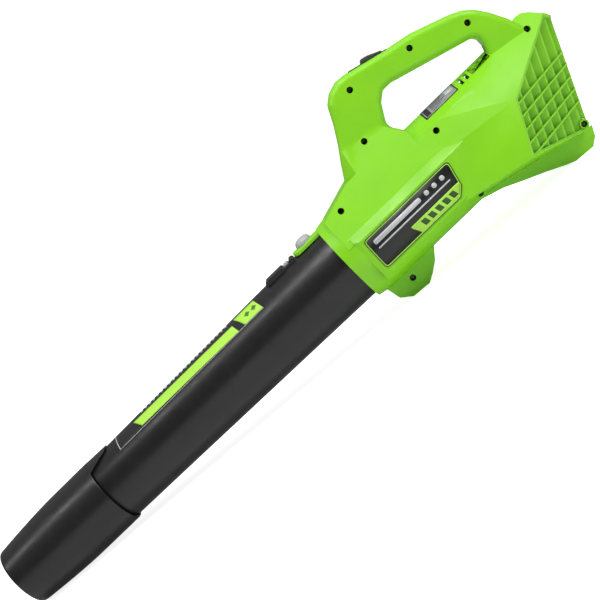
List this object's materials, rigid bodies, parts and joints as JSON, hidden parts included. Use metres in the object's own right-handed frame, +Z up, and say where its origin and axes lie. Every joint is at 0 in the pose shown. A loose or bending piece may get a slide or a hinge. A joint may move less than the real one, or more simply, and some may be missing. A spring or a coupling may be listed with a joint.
{
  "type": "leaf blower",
  "caption": "Handheld cordless leaf blower with a loop handle, faceted rear intake, axial fan in a straight tube and a push-on tapered nozzle.",
  "frame": {"origin": "on the floor plane, under the middle of the overall length and width, as the blower stands on its foot and keel", "axes": "+X towards the nozzle, +Y to the tool's left side, +Z up towards the handle; the air axis drops 4.1 degrees towards +X"},
  "size_m": [0.8336, 0.1364, 0.2297],
  "materials": {
    "housing_green": "satin moulded plastic",
    "tube_black": "fine textured moulded plastic",
    "duct_black": "moulded plastic",
    "fan_black": "glass filled plastic",
    "button_grey": "satin plastic",
    "knob_grey": "satin plastic",
    "bezel_dark": "fine textured plastic",
    "cap_black": "moulded plastic",
    "screw_steel": "black oxide",
    "spring_steel": "drawn wire",
    "shaft_steel": "ground",
    "can_steel": "zinc plated",
    "rotor_copper": "laminations and enamelled wire",
    "magnet_dark": "ferrite",
    "board_green": "solder mask",
    "badge_film": "printed film",
    "label_film": "printed foil",
    "decal_film": "printed film"
  },
  "bodies": {
    "tool": {"housing_left": "housing_green", "housing_right": "housing_green", "housing_screws": "screw_steel", "intake_grille": "housing_green", "blower_tube": "tube_black", "button_spring": "spring_steel", "fan_duct": "duct_black", "motor_can": "can_steel", "motor_magnets": "magnet_dark", "motor_end_cap": "cap_black", "bearing_rear": "shaft_steel", "bearing_front": "shaft_steel", "motor_screws": "screw_steel", "tail_cone": "duct_black", "slider_plate": "bezel_dark", "switch_body": "cap_black", "control_board": "board_green", "badge_left": "badge_film", "badge_right": "badge_film", "rating_label": "label_film", "tube_decal": "decal_film"},
    "nozzle": {"nozzle": "tube_black"},
    "rotor": {"motor_shaft": "shaft_steel", "motor_rotor": "rotor_copper", "fan_impeller": "fan_black", "fan_nut": "screw_steel"},
    "slider": {"slider_knob": "knob_grey"},
    "button": {"lock_button": "button_grey"}
  },
  "joints": [
    {"name": "fan_spin", "type": "hinge", "parent": "tool", "child": "rotor", "pos_m": [-0.15523, 0, 0.07816], "axis": [0.9974, 0, -0.0715], "continuous": true},
    {"name": "nozzle_slide", "type": "slide", "parent": "tool", "child": "nozzle", "axis": [0.9974, 0, -0.0715], "range_m": [0, 0.057]},
    {"name": "speed_slide", "type": "slide", "parent": "tool", "child": "slider", "axis": [0.9867, 0, 0.1624], "range_m": [0, 0.012]},
    {"name": "lock_press", "type": "slide", "parent": "tool", "child": "button", "axis": [-0.0715, 0, -0.9974], "range_m": [0, 0.0035], "stiffness_N_per_m": 700, "springref_m": -0.003, "deforming": ["button_spring"]}
  ]
}
